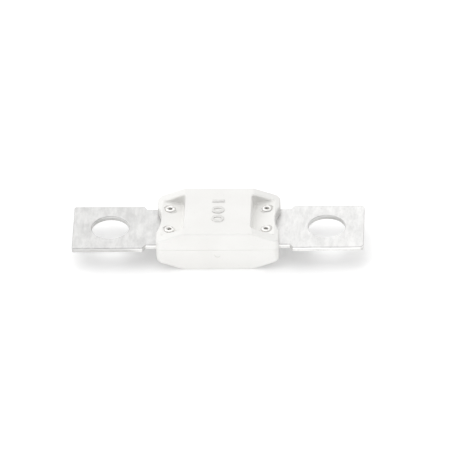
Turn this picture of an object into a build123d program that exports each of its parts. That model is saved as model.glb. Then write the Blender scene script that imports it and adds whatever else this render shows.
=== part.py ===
# Bolt-down strip fuse: one stamped and tinned metal strip ends in two blade terminals with stud holes,
# and its middle is a fuse link shut in a moulded housing of two shells. Four semi-tubular rivets go
# through the shells and the strip. Lengths are in millimetres. X runs along the strip, Y across it and
# Z up. The origin is the middle of the housing's flat underside.

from build123d import *
from math import radians, sqrt, tan
import os

# Studs, and the washers on them that the housing's ends are notched for
stud_pitch = 51.0
stud_hole_diameter = 8.8
washer_diameter = 24.0
washer_clearance = 0.1
notch_depth = 1.05
notch_corner_radius = 0.5

# Strip: the blade terminals and the necks that run into the housing
strip_thickness = 1.1
terminal_width = 16.8
tip_reach = 8.8
left_tip_radius = 0.5
right_tip_radius = 1.0
neck_reveal = 2.5
shoulder_length = 0.75
die_roll = 0.12

# Fuse link: a Z pressed thinner than the strip, with a pad for the pill in its middle leg
link_thickness = 0.7
link_width = 2.0
link_leg_pitch = 8.0
link_bend_radius = 0.7
block_reveal = 0.9
pad_margin = 0.4

# Diffusion pill: a spool of tin clinched into the pad
pill_diameter = 1.6
pill_head_overhang = 0.4
pill_head_height = 0.35

# Housing: outside form
housing_width = 18.8
housing_height = 10.2
ramp_length = 6.3
ramp_angle = 20.5
crease_radius = 0.6
end_corner_radius = 1.35
outer_edge_bevel = 0.25
parting_edge_break = 0.1

# Pockets in the ramps, for the rivet heads: each floor rises outwards and runs out through the ramp. Past
# the notch's corners the pocket is wider by the floor margin
floor_margin = 1.87
pocket_depth = 3.0
pocket_floor_tilt = 12.0
pocket_setback = 0.15
pocket_corner_radius = 1.1
pocket_draft = 4.0
pocket_wall_slope = 10.0
foot_bevel = 0.25
lip_bevel = 0.15

# Housing: inside
side_wall = 2.15
chamber_wall = 1.2
chamber_corner_radius = 1.2
strip_side_clearance = 0.1
tongue_width = 0.7
tongue_height = 0.5
tongue_end_inset = 3.45
tongue_clearance = 0.08
gate_mark_diameter = 1.4
gate_mark_depth = 0.15
gate_mark_drop = 1.35

# Rivets
rivet_side_inset = 2.75
rivet_shank_diameter = 1.8
rivet_tube_wall = 0.5
rivet_bore_depth = 2.2
rivet_head_overhang = 0.4
rivet_head_height = 0.35
rivet_head_slope = 0.25
rivet_clearance = 0.05
seat_margin = 0.2

# How faces and corners are told apart: by the upright part of a face's normal, and by place
crown_slope = 0.8
wall_slope = 0.2
nearby = 0.01

# Levels and places that follow from the sizes above
mid_level = housing_height / 2
strip_top = mid_level + strip_thickness / 2
stud_x = stud_pitch / 2
notch_radius = washer_diameter / 2 + washer_clearance
notch_half_width = sqrt(notch_radius**2 - (notch_radius - notch_depth) ** 2)
housing_end = stud_x - notch_radius + notch_depth
housing_length = 2 * housing_end
flat_end = housing_end - ramp_length
pocket_wall = flat_end + pocket_setback
pocket_half_width = notch_half_width + floor_margin
pocket_bottom = housing_height / 2 - pocket_depth
neck_width = housing_width - 2 * (side_wall + strip_side_clearance)
channel_width = neck_width + 2 * strip_side_clearance
chamber_end = pocket_wall - chamber_wall
block_end = chamber_end - block_reveal
pill_head_diameter = pill_diameter + 2 * pill_head_overhang
pad_diameter = pill_head_diameter + 2 * pad_margin
rivet_hole_diameter = rivet_shank_diameter + 2 * rivet_clearance
rivet_x = (pocket_wall + housing_end) / 2
rivet_y = pocket_half_width - rivet_side_inset
seat_rise = pocket_bottom + (rivet_x - pocket_wall) * tan(radians(pocket_floor_tilt))
seat_radius = rivet_shank_diameter / 2 + rivet_head_overhang + seat_margin
rivet_places = {
    f"{side}_{row}": (x, y)
    for side, x in (("left", -rivet_x), ("right", rivet_x))
    for row, y in (("front", -rivet_y), ("rear", rivet_y))
}

parting_plane = Plane.XY.offset(strip_top)


def through_hole(diameter, x, y):
    """A plain upright cylinder that passes right through the fuse."""
    return Pos(x, y, mid_level) * Cylinder(diameter / 2, 2 * housing_height)


def rivet_holes():
    """The four holes for the rivets."""
    return [through_hole(rivet_hole_diameter, x, y) for x, y in rivet_places.values()]


def brow_edges(form, up):
    """The edges where a steep wall meets a flat or a ramp that looks up, or with up = -1 down."""
    crown = form.faces().filter_by(lambda face: up * face.normal_at().Z > crown_slope)
    walls = form.faces().filter_by(lambda face: abs(face.normal_at().Z) < wall_slope)
    wall_edges = walls.edges()
    return [edge for edge in crown.edges() if any(edge.is_same(other) for other in wall_edges)]


def ramped_block():
    """The outside form with sharp edges: flat top and underside, ramps down and up to the ends."""
    end_half_height = housing_height / 2 - ramp_length * tan(radians(ramp_angle))
    corners = [
        (flat_end, housing_height / 2),
        (housing_end, end_half_height),
        (housing_end, -end_half_height),
        (flat_end, -housing_height / 2),
    ]
    side_view = Polygon(*corners, *[(-x, z) for x, z in reversed(corners)], align=None)
    side_view = fillet([v for v in side_view.vertices() if abs(v.X) < flat_end + nearby], crease_radius)
    return Pos(0, 0, mid_level) * extrude(Plane.XZ * side_view, amount=housing_width / 2, both=True)


def notched_slab():
    """The block with its corners rounded, its ends notched and its top and bottom outlines bevelled."""
    slab = ramped_block()
    slab = fillet(slab.edges().filter_by(Axis.Z), end_corner_radius)
    for side in (-1, 1):
        slab -= through_hole(2 * notch_radius, side * stud_x, 0)
    uprights = slab.edges().filter_by(Axis.Z)
    notch_corners = uprights.filter_by(lambda edge: abs(edge.center().Y) < notch_half_width + nearby)
    slab = fillet(notch_corners, notch_corner_radius)
    slab = chamfer(brow_edges(slab, 1), outer_edge_bevel)
    return chamfer(brow_edges(slab, -1), outer_edge_bevel)


def pocket_walls(floor_tilt):
    """The right pocket of the upper shell as a solid, with sharp edges at its floor."""
    end, top, half = 2 * housing_end, 2 * pocket_depth, pocket_half_width
    wide = half + top * tan(radians(pocket_draft))
    lean = top * tan(radians(pocket_wall_slope))
    rise = (end - pocket_wall) * tan(radians(floor_tilt))
    end_view = Polygon((-half, 0), (half, 0), (wide, top), (-wide, top), align=None)
    side_view = Polygon((pocket_wall, 0), (end, rise), (end, top), (pocket_wall - lean, top), align=None)
    cutter = extrude(Plane.YZ * end_view, amount=end, both=True)
    cutter &= extrude(Plane.XZ * side_view, amount=housing_width, both=True)
    inner_wall = cutter.faces().sort_by(Axis.X)[0]
    corners = inner_wall.edges().filter_by(lambda edge: abs(edge.center().Y) > nearby)
    return Pos(0, 0, mid_level + pocket_bottom) * fillet(corners, pocket_corner_radius)


def lip_bevel_cutter():
    """What the bevel round the right pocket's lip takes off the upper shell, as far as the floor's end."""
    block = ramped_block() - pocket_walls(0)
    lips = [
        edge
        for edge in brow_edges(block, 1)
        if edge.center().X < housing_end - nearby and abs(edge.center().Y) < housing_width / 2 - nearby
    ]
    above_floor = Rot(0, -pocket_floor_tilt, 0) * Pos(0, 0, housing_length) * Box(
        4 * housing_length, 2 * housing_width, 2 * housing_length)
    above_floor = Pos(pocket_wall, 0, mid_level + pocket_bottom) * above_floor
    return (block - chamfer(lips, lip_bevel)) & above_floor


def pocket_cutter():
    """The right pocket of the upper shell as it is cut, with a bevel round its floor."""
    cutter = pocket_walls(pocket_floor_tilt)
    floor = cutter.faces().sort_by(Axis.Z)[0]
    foot = floor.edges().filter_by(lambda edge: edge.center().X < 2 * housing_end - nearby)
    return chamfer(foot, foot_bevel)


def in_both_shells(solid):
    """A solid that belongs to the upper shell, and its mirror image in the lower one."""
    return [solid, mirror(solid, Plane.XY.offset(mid_level))]


def housing_form():
    """The housing as if it were one piece, with its four pockets and a level seat for each rivet head."""
    form = notched_slab()
    for cutter in in_both_shells(pocket_cutter()) + in_both_shells(lip_bevel_cutter()):
        form -= cutter
        form -= mirror(cutter, Plane.YZ)
    for x, y in rivet_places.values():
        seat = Pos(x, y, mid_level) * extrude(Circle(seat_radius), amount=seat_rise)
        for solid in in_both_shells(seat):
            form += solid
        for space in in_both_shells(Pos(0, 0, seat_rise) * seat):
            form -= space
    return form


def break_parting_edge(shell, at_bottom):
    """Takes the sharpness off the shell's outline at the parting plane."""
    outline = shell.edges().group_by(Axis.Z)[0 if at_bottom else -1]
    return chamfer(outline, parting_edge_break)


def chamber():
    """The hollow that the fuse link melts in, shared by the two shells."""
    hollow = Box(2 * chamber_end, channel_width, housing_height - 2 * chamber_wall)
    hollow = fillet(hollow.edges().filter_by(Axis.Z), chamber_corner_radius)
    return Pos(0, 0, mid_level) * hollow


def side_ribs(clearance):
    """The tongue along each side wall of the lower shell, or with a clearance the groove that takes it."""
    length = 2 * (housing_end - tongue_end_inset + clearance)
    rib_y = (housing_width + channel_width) / 4
    rib = Pos(0, 0, (tongue_height + clearance) / 2) * Box(
        length, tongue_width + 2 * clearance, tongue_height + clearance)
    return [parting_plane * Pos(0, y, 0) * rib for y in (-rib_y, rib_y)]


def upper_housing():
    """The upper shell, from the strip's top face to the flat top."""
    shell = split(housing_form(), parting_plane, keep=Keep.TOP)
    shell = break_parting_edge(shell, True)
    return shell - chamber() - rivet_holes() - side_ribs(tongue_clearance)


def lower_housing():
    """The lower shell, with the channel that the strip lies in and the mark where its mould was fed."""
    shell = split(housing_form(), parting_plane, keep=Keep.BOTTOM)
    shell = break_parting_edge(shell, False)
    channel = Pos(0, 0, mid_level) * Box(2 * housing_length, channel_width, strip_thickness)
    gate = Pos(0, -housing_width / 2, strip_top - gate_mark_drop) * Rot(90, 0, 0)
    gate_mark = gate * Cylinder(gate_mark_diameter / 2, 2 * gate_mark_depth)
    return shell - channel - chamber() - rivet_holes() - gate_mark + side_ribs(0)


def terminal_blade(tip_radius):
    """The right end of the strip: the blade with its stud hole, and the neck up to the link."""
    tip = stud_x + tip_reach
    neck_end = housing_end + neck_reveal
    outline = [
        (block_end, neck_width / 2),
        (neck_end, neck_width / 2),
        (neck_end + shoulder_length, terminal_width / 2),
        (tip, terminal_width / 2),
    ]
    plan = Polygon(*[(x, -y) for x, y in outline], *reversed(outline), align=None)
    plan = fillet([v for v in plan.vertices() if v.X > tip - nearby], tip_radius)
    plan -= Pos(stud_x, 0) * Circle(stud_hole_diameter / 2)
    blade = Pos(0, 0, mid_level) * extrude(plan, amount=strip_thickness / 2, both=True)
    return chamfer(blade.edges().group_by(Axis.Z)[-1], die_roll)


def fuse_link():
    """The Z-shaped link between the two blades, with the round pad for the pill in its middle leg."""
    half_pitch, half_width = link_leg_pitch / 2, link_width / 2
    plan = Rectangle(link_width, link_leg_pitch + link_width)
    leg_length = block_end + half_width
    for side in (-1, 1):
        leg_x = side * (leg_length / 2 - half_width)
        plan += Pos(leg_x, -side * half_pitch) * Rectangle(leg_length, link_width)
    bends = plan.vertices().filter_by(lambda v: abs(abs(v.X) - half_width) < nearby)
    plan = fillet(bends.filter_by(lambda v: abs(v.Y) < half_pitch), link_bend_radius)
    bends = plan.vertices().filter_by(lambda v: abs(abs(v.X) - half_width) < nearby)
    plan = fillet(bends.filter_by(lambda v: abs(v.Y) > half_pitch), link_bend_radius + link_width)
    plan += Circle(pad_diameter / 2)
    return Pos(0, 0, mid_level) * extrude(plan, amount=link_thickness / 2, both=True)


def fuse_strip():
    """The stamped strip: both blades and the link, in one piece."""
    left_blade = mirror(terminal_blade(left_tip_radius), Plane.YZ)
    strip = left_blade + fuse_link() + terminal_blade(right_tip_radius)
    return strip - rivet_holes() - through_hole(pill_diameter, 0, 0)


def diffusion_pill():
    """The pill: a shank as long as the link is thick, and a head on each face of it."""
    head = Cylinder(pill_head_diameter / 2, pill_head_height)
    seat = (link_thickness + pill_head_height) / 2
    spool = Cylinder(pill_diameter / 2, link_thickness) + Pos(0, 0, seat) * head + Pos(0, 0, -seat) * head
    return Pos(0, 0, mid_level) * spool


def rivet():
    """A semi-tubular rivet about Z: a low head below, and the tube's mouth set to a ring above."""
    shank = rivet_shank_diameter / 2
    bore = shank - rivet_tube_wall
    head = shank + rivet_head_overhang
    lower_seat, upper_seat = mid_level - seat_rise, mid_level + seat_rise
    base, top = lower_seat - rivet_head_height, upper_seat + rivet_head_height
    bore_bottom = top - rivet_bore_depth
    section = Polygon(
        (0, base),
        (head - rivet_head_slope, base),
        (head, lower_seat),
        (shank, lower_seat),
        (shank, upper_seat),
        (head, upper_seat),
        (head - rivet_head_slope, top),
        (bore, top),
        (bore, bore_bottom),
        (0, bore_bottom),
        align=None,
    )
    return revolve(Plane.XZ * section, Axis.Z)


os.makedirs("parts", exist_ok=True)
pieces = {
    "fuse_strip": fuse_strip(),
    "upper_housing": upper_housing(),
    "lower_housing": lower_housing(),
    "diffusion_pill": diffusion_pill(),
}
for place, (x, y) in rivet_places.items():
    pieces[f"rivet_{place}"] = Pos(x, y, 0) * rivet()
for name, piece in pieces.items():
    export_step(piece, f"parts/{name}.step")
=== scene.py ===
from math import cos, pi, radians, sin, tau

import bmesh
import bpy
from mathutils import Matrix, Vector


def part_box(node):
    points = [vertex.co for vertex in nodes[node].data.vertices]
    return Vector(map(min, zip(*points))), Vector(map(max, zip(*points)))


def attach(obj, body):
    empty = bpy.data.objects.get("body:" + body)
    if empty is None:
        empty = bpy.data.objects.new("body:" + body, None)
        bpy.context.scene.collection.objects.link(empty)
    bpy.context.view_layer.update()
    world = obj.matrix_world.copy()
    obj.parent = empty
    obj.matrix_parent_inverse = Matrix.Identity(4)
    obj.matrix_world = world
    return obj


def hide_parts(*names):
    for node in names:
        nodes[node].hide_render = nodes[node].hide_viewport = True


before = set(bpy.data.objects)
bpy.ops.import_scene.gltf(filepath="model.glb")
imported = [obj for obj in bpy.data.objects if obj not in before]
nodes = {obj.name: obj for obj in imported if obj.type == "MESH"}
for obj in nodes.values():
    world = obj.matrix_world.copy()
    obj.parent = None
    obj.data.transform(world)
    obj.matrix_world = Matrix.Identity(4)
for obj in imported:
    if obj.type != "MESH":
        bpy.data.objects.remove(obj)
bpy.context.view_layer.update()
MM = 0.001


# Fuse strip: terminals, necks and link, stamped in one piece from copper alloy sheet, tinned, and laid in
# the lower shell's channel. The tin set in clouds and streaks over faint rolling lines, and it is painted
# lighter from left to right, a painted reflection of brighter light on the right terminal. The sheared edge
# is burnished above and torn below, and painted shade darkens its near side at the left tip.
class Socket:
    """One output of a shader node. Arithmetic on it adds Math nodes to the same tree."""

    def __init__(self, graph, output):
        self.graph = graph
        self.output = output

    def math(self, operation, *terms):
        return self.graph.node("ShaderNodeMath", {"operation": operation}, dict(enumerate(terms)))

    def __add__(self, other):
        return self.math("ADD", self, other)

    def __radd__(self, other):
        return self.math("ADD", other, self)

    def __sub__(self, other):
        return self.math("SUBTRACT", self, other)

    def __rsub__(self, other):
        return self.math("SUBTRACT", other, self)

    def __mul__(self, other):
        return self.math("MULTIPLY", self, other)

    def __rmul__(self, other):
        return self.math("MULTIPLY", other, self)

    def __abs__(self):
        return self.math("ABSOLUTE", self)

    def step(self, low, high):
        """0 below low, 1 above high, and a soft ramp between them."""
        settings = {"interpolation_type": "SMOOTHSTEP"}
        inputs = {"Value": self, "From Min": low, "From Max": high}
        return self.graph.node("ShaderNodeMapRange", settings, inputs)


class Graph:
    """A tree of shader nodes, built up node by node."""

    def __init__(self, tree):
        self.tree = tree

    def node(self, kind, settings=None, inputs=None, output=0):
        """Adds a node: its settings first, then the values or links of its sockets. Gives one output."""
        made = self.tree.nodes.new(kind)
        for name, value in (settings or {}).items():
            setattr(made, name, value)
        for key, value in (inputs or {}).items():
            self.feed(made.inputs[key], value)
        return Socket(self, made.outputs[output])

    def feed(self, socket, value):
        """Links a socket to another node's output, or sets its value."""
        if isinstance(value, Socket):
            self.tree.links.new(value.output, socket)
        else:
            socket.default_value = value


class Finish(Graph):
    """A material on one Principled shader."""

    # Where the sockets of a colour mix stand
    SHARE = 0
    LOW = 6
    HIGH = 7
    MIXED = 2

    def __init__(self, name, **sockets):
        self.material = bpy.data.materials.new(name)
        self.material.use_nodes = True
        super().__init__(self.material.node_tree)
        self.shader = self.tree.nodes["Principled BSDF"]
        self.surface(**sockets)
        self.place = self.node("ShaderNodeTexCoord", output="Object")

    def surface(self, **sockets):
        for name, value in sockets.items():
            self.feed(self.shader.inputs[name.replace("_", " ")], value)

    def stretched(self, x, y, z):
        """The place on the piece, in units stretched along the axes."""
        return self.node("ShaderNodeMapping", {}, {"Vector": self.place, "Scale": (x, y, z)})

    def part_of(self, vector, axis):
        """One part of a vector: X, Y or Z."""
        return self.node("ShaderNodeSeparateXYZ", {}, {0: vector}, axis)

    def noise(self, per_metre, detail, roughness, place=None):
        """Noise from 0 to 1, with about so many blotches to the metre."""
        inputs = {"Vector": place or self.place, "Scale": per_metre, "Detail": detail, "Roughness": roughness}
        return self.node("ShaderNodeTexNoise", {}, inputs)

    def blend(self, share, low, high):
        """Mixes two colours by a share from 0 to 1."""
        inputs = {self.SHARE: share, self.LOW: low, self.HIGH: high}
        return self.node("ShaderNodeMix", {"data_type": "RGBA"}, inputs, self.MIXED)

    def bump(self, height, depth):
        """Gives the surface a relief: height from 0 to 1, depth in metres."""
        relief = {"Height": height, "Distance": depth, "Strength": 1.0}
        self.surface(Normal=self.node("ShaderNodeBump", {}, relief))


TIN_DULL = (0.47, 0.468, 0.463, 1.0)
TIN_BRIGHT = (0.78, 0.777, 0.769, 1.0)
EDGE_BURNISHED = (0.94, 0.937, 0.925, 1.0)
EDGE_TORN_AND_SHADED = (0.66, 0.657, 0.647, 1.0)
STRIP_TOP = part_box("fuse_strip")[1].z
STRIP_THICKNESS = STRIP_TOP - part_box("fuse_strip")[0].z
BURNISH_SHARE = 0.38
BURNISH_FADE = 0.08 * MM
PAINTED_LIGHT_FROM = -30 * MM
PAINTED_LIGHT_UP_TO = 30 * MM
NEAR_SIDE = -8 * MM
NEAR_SIDE_FADE = 2 * MM
PAINTED_SHADE_UP_TO = -25 * MM
PAINTED_SHADE_GONE = -16 * MM
TIN_RELIEF = 0.03 * MM

tin = Finish("tinned_sheet", Metallic=1.0)
clouds = tin.noise(230, 4.0, 0.55, tin.stretched(1.3, 0.8, 1.0)).step(0.34, 0.66)
blotches = tin.noise(620, 3.0, 0.6, tin.stretched(1.5, 0.5, 1.0)).step(0.3, 0.7)
rolling = tin.noise(60, 6.0, 0.7, tin.stretched(1.0, 60.0, 1.0))
specks = tin.noise(1900, 2.0, 0.5).step(0.66, 0.74)
lengthwise = tin.part_of(tin.place, "X")
# Painted light: lighter from left to right, for the brighter light that the right terminal mirrors
along = lengthwise.step(PAINTED_LIGHT_FROM, PAINTED_LIGHT_UP_TO)
# Painted shade: the near side of the sheared edge is painted darker at the left tip
near_side = 1 - tin.part_of(tin.place, "Y").step(NEAR_SIDE, NEAR_SIDE + NEAR_SIDE_FADE)
painted_shade_end = near_side * (1 - lengthwise.step(PAINTED_SHADE_UP_TO, PAINTED_SHADE_GONE))
height = tin.part_of(tin.place, "Z")
facing = tin.part_of(tin.node("ShaderNodeTexCoord", output="Normal"), "Z")
side = 1 - abs(facing).step(0.1, 0.5)
burnish_end = STRIP_TOP - STRIP_THICKNESS * BURNISH_SHARE
torn = side * (1 - height.step(burnish_end - BURNISH_FADE, burnish_end + BURNISH_FADE))
tears = tin.noise(2600, 4.0, 0.7, tin.stretched(1.0, 1.0, 0.15))
mottle_and_painted_light = 0.10 + 0.28 * clouds + 0.36 * blotches + 0.30 * along - 0.30 * specks
edge = tin.blend(0.7 * torn * tears + painted_shade_end, EDGE_BURNISHED, EDGE_TORN_AND_SHADED)
tin.surface(
    Base_Color=tin.blend(side, tin.blend(mottle_and_painted_light, TIN_DULL, TIN_BRIGHT), edge),
    Roughness=0.36 + 0.10 * clouds + 0.06 * blotches + 0.22 * torn,
)
tin.bump(0.5 * rolling + 0.35 * blotches + torn * tears, TIN_RELIEF)
nodes["fuse_strip"].data.materials[0] = tin.material


# Diffusion pill: a small spool of soft tin, clinched through the pad in the middle of the link and hidden by
# the housing. Its finish is dull, with the marks of the punch that spread its heads.
PILL_DARK = (0.58, 0.575, 0.56, 1.0)
PILL_LIGHT = (0.74, 0.735, 0.72, 1.0)
DENT_DEPTH = 0.03 * MM

pill_tin = Finish("pill_tin", Metallic=1.0)
dents = pill_tin.noise(2400, 3.0, 0.6)
pill_tin.surface(Base_Color=pill_tin.blend(dents, PILL_DARK, PILL_LIGHT), Roughness=0.42 + 0.2 * dents)
pill_tin.bump(dents, DENT_DEPTH)
nodes["diffusion_pill"].data.materials[0] = pill_tin.material


# Housing shells: two mouldings of off-white glass-filled plastic, alike outside, that close over the strip.
# The mould's spark-eroded faces leave a fine satin grain, and the filler shows as faint grey flecks.
PLASTIC_LIGHT = (0.90, 0.895, 0.875, 1.0)
PLASTIC_SHADE = (0.84, 0.832, 0.81, 1.0)
MOULD_GRAIN = 0.016 * MM

plastic = Finish("moulded_plastic", IOR=1.5)
cloudy = plastic.noise(120, 3.0, 0.5).step(0.3, 0.7)
grain = plastic.noise(3200, 2.0, 0.6)
ripple = plastic.noise(420, 2.0, 0.5)
flecks = plastic.noise(2300, 1.0, 0.5).step(0.68, 0.78)
plastic.surface(
    Base_Color=plastic.blend(0.35 + 0.5 * cloudy + 0.25 * grain - 0.7 * flecks, PLASTIC_SHADE, PLASTIC_LIGHT),
    Roughness=0.44 + 0.12 * grain + 0.06 * cloudy,
)
plastic.bump(0.7 * grain + 0.5 * ripple, MOULD_GRAIN)
for shell in ("lower_housing", "upper_housing"):
    nodes[shell].data.materials[0] = plastic.material


# Rivets: four semi-tubular rivets of nickel-plated steel, pushed up through the shells and the strip. Setting
# rolled each tube's mouth outwards into a low ring, and short splits run out from the stretched mouth.
RING_STEPS = 120
ARC_STEPS = 10
MERGE_DISTANCE = 0.001 * MM
HEAD_HEIGHT = 0.35 * MM
HEAD_RADIUS = 1.3 * MM
SHANK_RADIUS = 0.9 * MM
BORE_RADIUS = 0.4 * MM
BORE_DEPTH = 2.2 * MM
CREST_RADIUS = 0.82 * MM
MOUTH_DEPTH = 0.3 * MM
SPLIT_REACH = 1.05 * MM
SPLIT_DEPTH = 0.22 * MM
SPLIT_WIDTH = radians(12)
NICKEL_DULL = (0.68, 0.672, 0.655, 1.0)
NICKEL_BRIGHT = (0.84, 0.83, 0.81, 1.0)
PLATING_RELIEF = 0.012 * MM

nickel = Finish("nickel_plate", Metallic=1.0)
smears = nickel.noise(1500, 4.0, 0.6)
nickel.surface(
    Base_Color=nickel.blend(smears.step(0.3, 0.7), NICKEL_DULL, NICKEL_BRIGHT),
    Roughness=0.30 + 0.16 * smears,
)
nickel.bump(smears, PLATING_RELIEF)


def arc(centre, radii, start, end):
    """Points on an ellipse in the rivet's section, from one angle to another."""
    angles = [start + (end - start) * step / ARC_STEPS for step in range(ARC_STEPS + 1)]
    return [(centre[0] + radii[0] * cos(angle), centre[1] + radii[1] * sin(angle)) for angle in angles]


def rivet_profile(base, top):
    """Half the section: up the bore, over the rolled ring, down the shank and round the head below."""
    seat = top - HEAD_HEIGHT
    foot = base + HEAD_HEIGHT
    bore_end = top - BORE_DEPTH
    mouth = arc((CREST_RADIUS, top - MOUTH_DEPTH), (CREST_RADIUS - BORE_RADIUS, MOUTH_DEPTH), pi, pi / 2)
    ring = arc((CREST_RADIUS, seat), (HEAD_RADIUS - CREST_RADIUS, HEAD_HEIGHT), pi / 2, 0)
    shank = [(SHANK_RADIUS, seat), (SHANK_RADIUS, foot)]
    dome = arc((0, foot), (HEAD_RADIUS, -HEAD_HEIGHT), 0, pi / 2)
    return [(0, bore_end), (BORE_RADIUS, bore_end)] + mouth + ring[1:] + shank + dome


def split_mouth(form, splits, seat):
    """Presses a short split into the ring at each of the angles, from the mouth outwards."""
    for vert in form.verts:
        radius = vert.co.xy.length
        if not BORE_RADIUS < radius < SPLIT_REACH or vert.co.z < seat:
            continue
        angle = vert.co.xy.angle_signed(Vector((1, 0)), 0)
        bow = sin(pi * (radius - BORE_RADIUS) / (SPLIT_REACH - BORE_RADIUS))
        for place, strength in splits:
            gap = abs((angle - place + pi) % tau - pi)
            if gap < SPLIT_WIDTH:
                vert.co.z -= strength * bow * cos(gap / SPLIT_WIDTH * pi / 2) * SPLIT_DEPTH


# The angle of each split in radians, and how deep it is as a share of the full depth
splits_of = {
    "rivet_left_front": ((0.35, 1.0), (2.9, 0.9), (5.6, 0.8)),
    "rivet_left_rear": ((0.5, 0.8), (3.3, 0.6)),
    "rivet_right_front": ((2.6, 0.9), (5.2, 0.6)),
    "rivet_right_rear": ((1.8, 0.5),),
}
for name, splits in splits_of.items():
    low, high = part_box(name)
    form = bmesh.new()
    rim = [form.verts.new((r, 0, z)) for r, z in rivet_profile(low.z, high.z)]
    edges = [form.edges.new(pair) for pair in zip(rim, rim[1:])]
    bmesh.ops.spin(
        form, geom=rim + edges, axis=(0, 0, 1), cent=(0, 0, 0), angle=tau, steps=RING_STEPS, use_merge=True
    )
    bmesh.ops.remove_doubles(form, verts=form.verts, dist=MERGE_DISTANCE)
    split_mouth(form, splits, high.z - HEAD_HEIGHT)
    bmesh.ops.recalc_face_normals(form, faces=form.faces)
    centre = (low + high) / 2
    bmesh.ops.translate(form, verts=form.verts, vec=(centre.x, centre.y, 0))
    for face in form.faces:
        face.smooth = True
    mesh = bpy.data.meshes.new("set_" + name)
    form.to_mesh(mesh)
    form.free()
    rivet = bpy.data.objects.new("set_" + name, mesh)
    bpy.context.scene.collection.objects.link(rivet)
    mesh.materials.append(nickel.material)
    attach(rivet, "root")
    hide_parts(name)


# Rating number: plain raised figures, moulded with the upper shell in the middle of its flat top. They read
# from rear to front, with their tops towards the right terminal, and they are a little greyer than the shell.
FIGURE_HEIGHT = 3.0 * MM
FIGURES_LENGTH = 8.9 * MM
FIGURE_RISE = 0.2 * MM
FIGURE_SINK = 0.05 * MM
FIGURE_DARK = (0.70, 0.694, 0.675, 1.0)
FIGURE_LIGHT = (0.80, 0.793, 0.772, 1.0)
FIGURE_GRAIN_DEPTH = 0.012 * MM
FIGURE_SPACING = 1.25
# Lengths on the figures as first drawn, in units of the lettering's size
STROKE_THICKENING = 0.01
STROKE_HALF_DEPTH = 0.035
STROKE_EDGE = 0.02

curve = bpy.data.curves.new("figures", "FONT")
curve.body = "100"
curve.align_x = "CENTER"
curve.align_y = "CENTER"
curve.space_character = FIGURE_SPACING
curve.offset = STROKE_THICKENING
curve.extrude = STROKE_HALF_DEPTH
curve.bevel_depth = STROKE_EDGE
curve.bevel_resolution = 2
curve.resolution_u = 8
text = bpy.data.objects.new("figures", curve)
bpy.context.scene.collection.objects.link(text)
bpy.context.view_layer.update()
mesh = bpy.data.meshes.new_from_object(text.evaluated_get(bpy.context.evaluated_depsgraph_get()))
bpy.data.objects.remove(text)
lowest = Vector([min(vert.co[axis] for vert in mesh.vertices) for axis in range(3)])
highest = Vector([max(vert.co[axis] for vert in mesh.vertices) for axis in range(3)])
span = highest - lowest
middle = (lowest + highest) / 2
middle.z = lowest.z
grown = (FIGURES_LENGTH / span.x, FIGURE_HEIGHT / span.y, (FIGURE_RISE + FIGURE_SINK) / span.z, 1)
mesh.transform(Matrix.Translation(-middle))
mesh.transform(Matrix.Diagonal(grown))
mesh.transform(Matrix.Rotation(-pi / 2, 4, "Z"))
mesh.transform(Matrix.Translation((0, 0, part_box("upper_housing")[1].z - FIGURE_SINK)))
figures = bpy.data.objects.new("raised_figures", mesh)
bpy.context.scene.collection.objects.link(figures)
# The figures get a greyer plastic colour than the shell, in soft blotches
figure_finish = Finish("grey_figure_plastic", IOR=1.5)
figure_blotches = figure_finish.noise(1400, 3.0, 0.6).step(0.3, 0.7)
figure_finish.surface(Base_Color=figure_finish.blend(figure_blotches, FIGURE_DARK, FIGURE_LIGHT), Roughness=0.5 + 0.1 * figure_blotches)
figure_finish.bump(figure_finish.noise(3200, 2.0, 0.6), FIGURE_GRAIN_DEPTH)
mesh.materials.clear()
mesh.materials.append(figure_finish.material)
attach(figures, "root")


# Studio: a pale table under a soft sky that is brightest overhead and behind, one very broad lamp behind on
# the left, and a low fill from the front. The camera looks down from the front through a long lens.
FLOOR_SIZE = 40.0
FLOOR_GLOW = 0.10
FLOOR_SEEN_GLOW = 0.16

table = bmesh.new()
bmesh.ops.create_grid(table, x_segments=1, y_segments=1, size=FLOOR_SIZE / 2)
mesh = bpy.data.meshes.new("table")
table.to_mesh(mesh)
table.free()
floor = bpy.data.objects.new("table", mesh)
bpy.context.scene.collection.objects.link(floor)
paper = Finish("pale_paper", Roughness=0.9, Base_Color=(0.9, 0.9, 0.9, 1.0), Specular_IOR_Level=0.0)
seen = paper.node("ShaderNodeLightPath", output="Is Camera Ray")
paper.surface(Emission_Color=(1, 1, 1, 1), Emission_Strength=FLOOR_GLOW + FLOOR_SEEN_GLOW * seen)
mesh.materials.append(paper.material)

SKY_LEVEL = 0.42
SKY_OVERHEAD = 0.58
SKY_BEHIND = 0.32

world = bpy.data.worlds.new("studio")
bpy.context.scene.world = world
world.use_nodes = True
sky = Graph(world.node_tree)
direction = sky.node("ShaderNodeTexCoord", output="Generated")
brighter_towards = (0, SKY_BEHIND, SKY_OVERHEAD)
terms = {0: direction, 1: brighter_towards}
level = SKY_LEVEL + sky.node("ShaderNodeVectorMath", {"operation": "DOT_PRODUCT"}, terms, "Value")
camera_ray = sky.node("ShaderNodeLightPath", output="Is Camera Ray")
strength = level + (1 - level) * camera_ray
background = world.node_tree.nodes["Background"]
sky.feed(background.inputs["Strength"], strength)
sky.feed(background.inputs["Color"], (1, 1, 1, 1))


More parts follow.
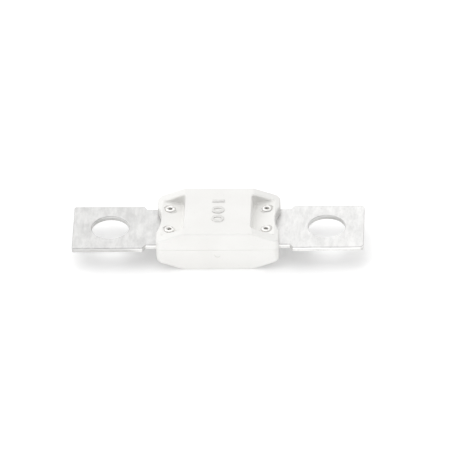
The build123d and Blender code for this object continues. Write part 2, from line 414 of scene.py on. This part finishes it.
def lamp(name, azimuth, elevation, strength, width):
    """A far lamp. In degrees: azimuth runs clockwise from the rear, and width is how wide the lamp looks."""
    data = bpy.data.lights.new(name, "SUN")
    data.energy = strength
    data.angle = radians(width)
    made = bpy.data.objects.new(name, data)
    bpy.context.scene.collection.objects.link(made)
    turn, rise = radians(azimuth), radians(elevation)
    towards = Vector((sin(turn) * cos(rise), cos(turn) * cos(rise), sin(rise)))
    made.rotation_euler = towards.to_track_quat("Z", "Y").to_euler()


lamp("broad_lamp", azimuth=-55, elevation=52, strength=0.88, width=90)
lamp("low_front_fill", azimuth=180, elevation=1.5, strength=0.95, width=2)

IMAGE_SIDE = 450
SENSOR = 36.0
CAMERA_AZIMUTH = radians(2.88)
CAMERA_ELEVATION = radians(35.79)
CAMERA_ROLL = radians(-2.03)
CAMERA_DISTANCE = 2.5
PIXELS_PER_METRE = 4245.9
TARGET_PIXEL = (218.57, 228.66)

back = Vector((
    sin(CAMERA_AZIMUTH) * cos(CAMERA_ELEVATION),
    -cos(CAMERA_AZIMUTH) * cos(CAMERA_ELEVATION),
    sin(CAMERA_ELEVATION),
))
right = Vector((cos(CAMERA_AZIMUTH), sin(CAMERA_AZIMUTH), 0))
up = back.cross(right)
right, up = (
    right * cos(CAMERA_ROLL) + up * sin(CAMERA_ROLL),
    up * cos(CAMERA_ROLL) - right * sin(CAMERA_ROLL),
)
strip_low, strip_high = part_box("fuse_strip")
aim = (strip_low + strip_high) / 2
aim.x = 0
aim += right * (IMAGE_SIDE / 2 - TARGET_PIXEL[0]) / PIXELS_PER_METRE
aim += up * (TARGET_PIXEL[1] - IMAGE_SIDE / 2) / PIXELS_PER_METRE
camera_data = bpy.data.cameras.new("camera")
camera_data.sensor_width = SENSOR
camera_data.lens = PIXELS_PER_METRE * CAMERA_DISTANCE * SENSOR / IMAGE_SIDE
camera_data.clip_start = 0.1
camera_data.clip_end = 100.0
camera = bpy.data.objects.new("camera", camera_data)
bpy.context.scene.collection.objects.link(camera)
turn = Matrix((right, up, back)).transposed().to_4x4()
camera.matrix_world = Matrix.Translation(aim + back * CAMERA_DISTANCE) @ turn
bpy.context.scene.camera = camera
bpy.context.scene.view_settings.view_transform = "Standard"
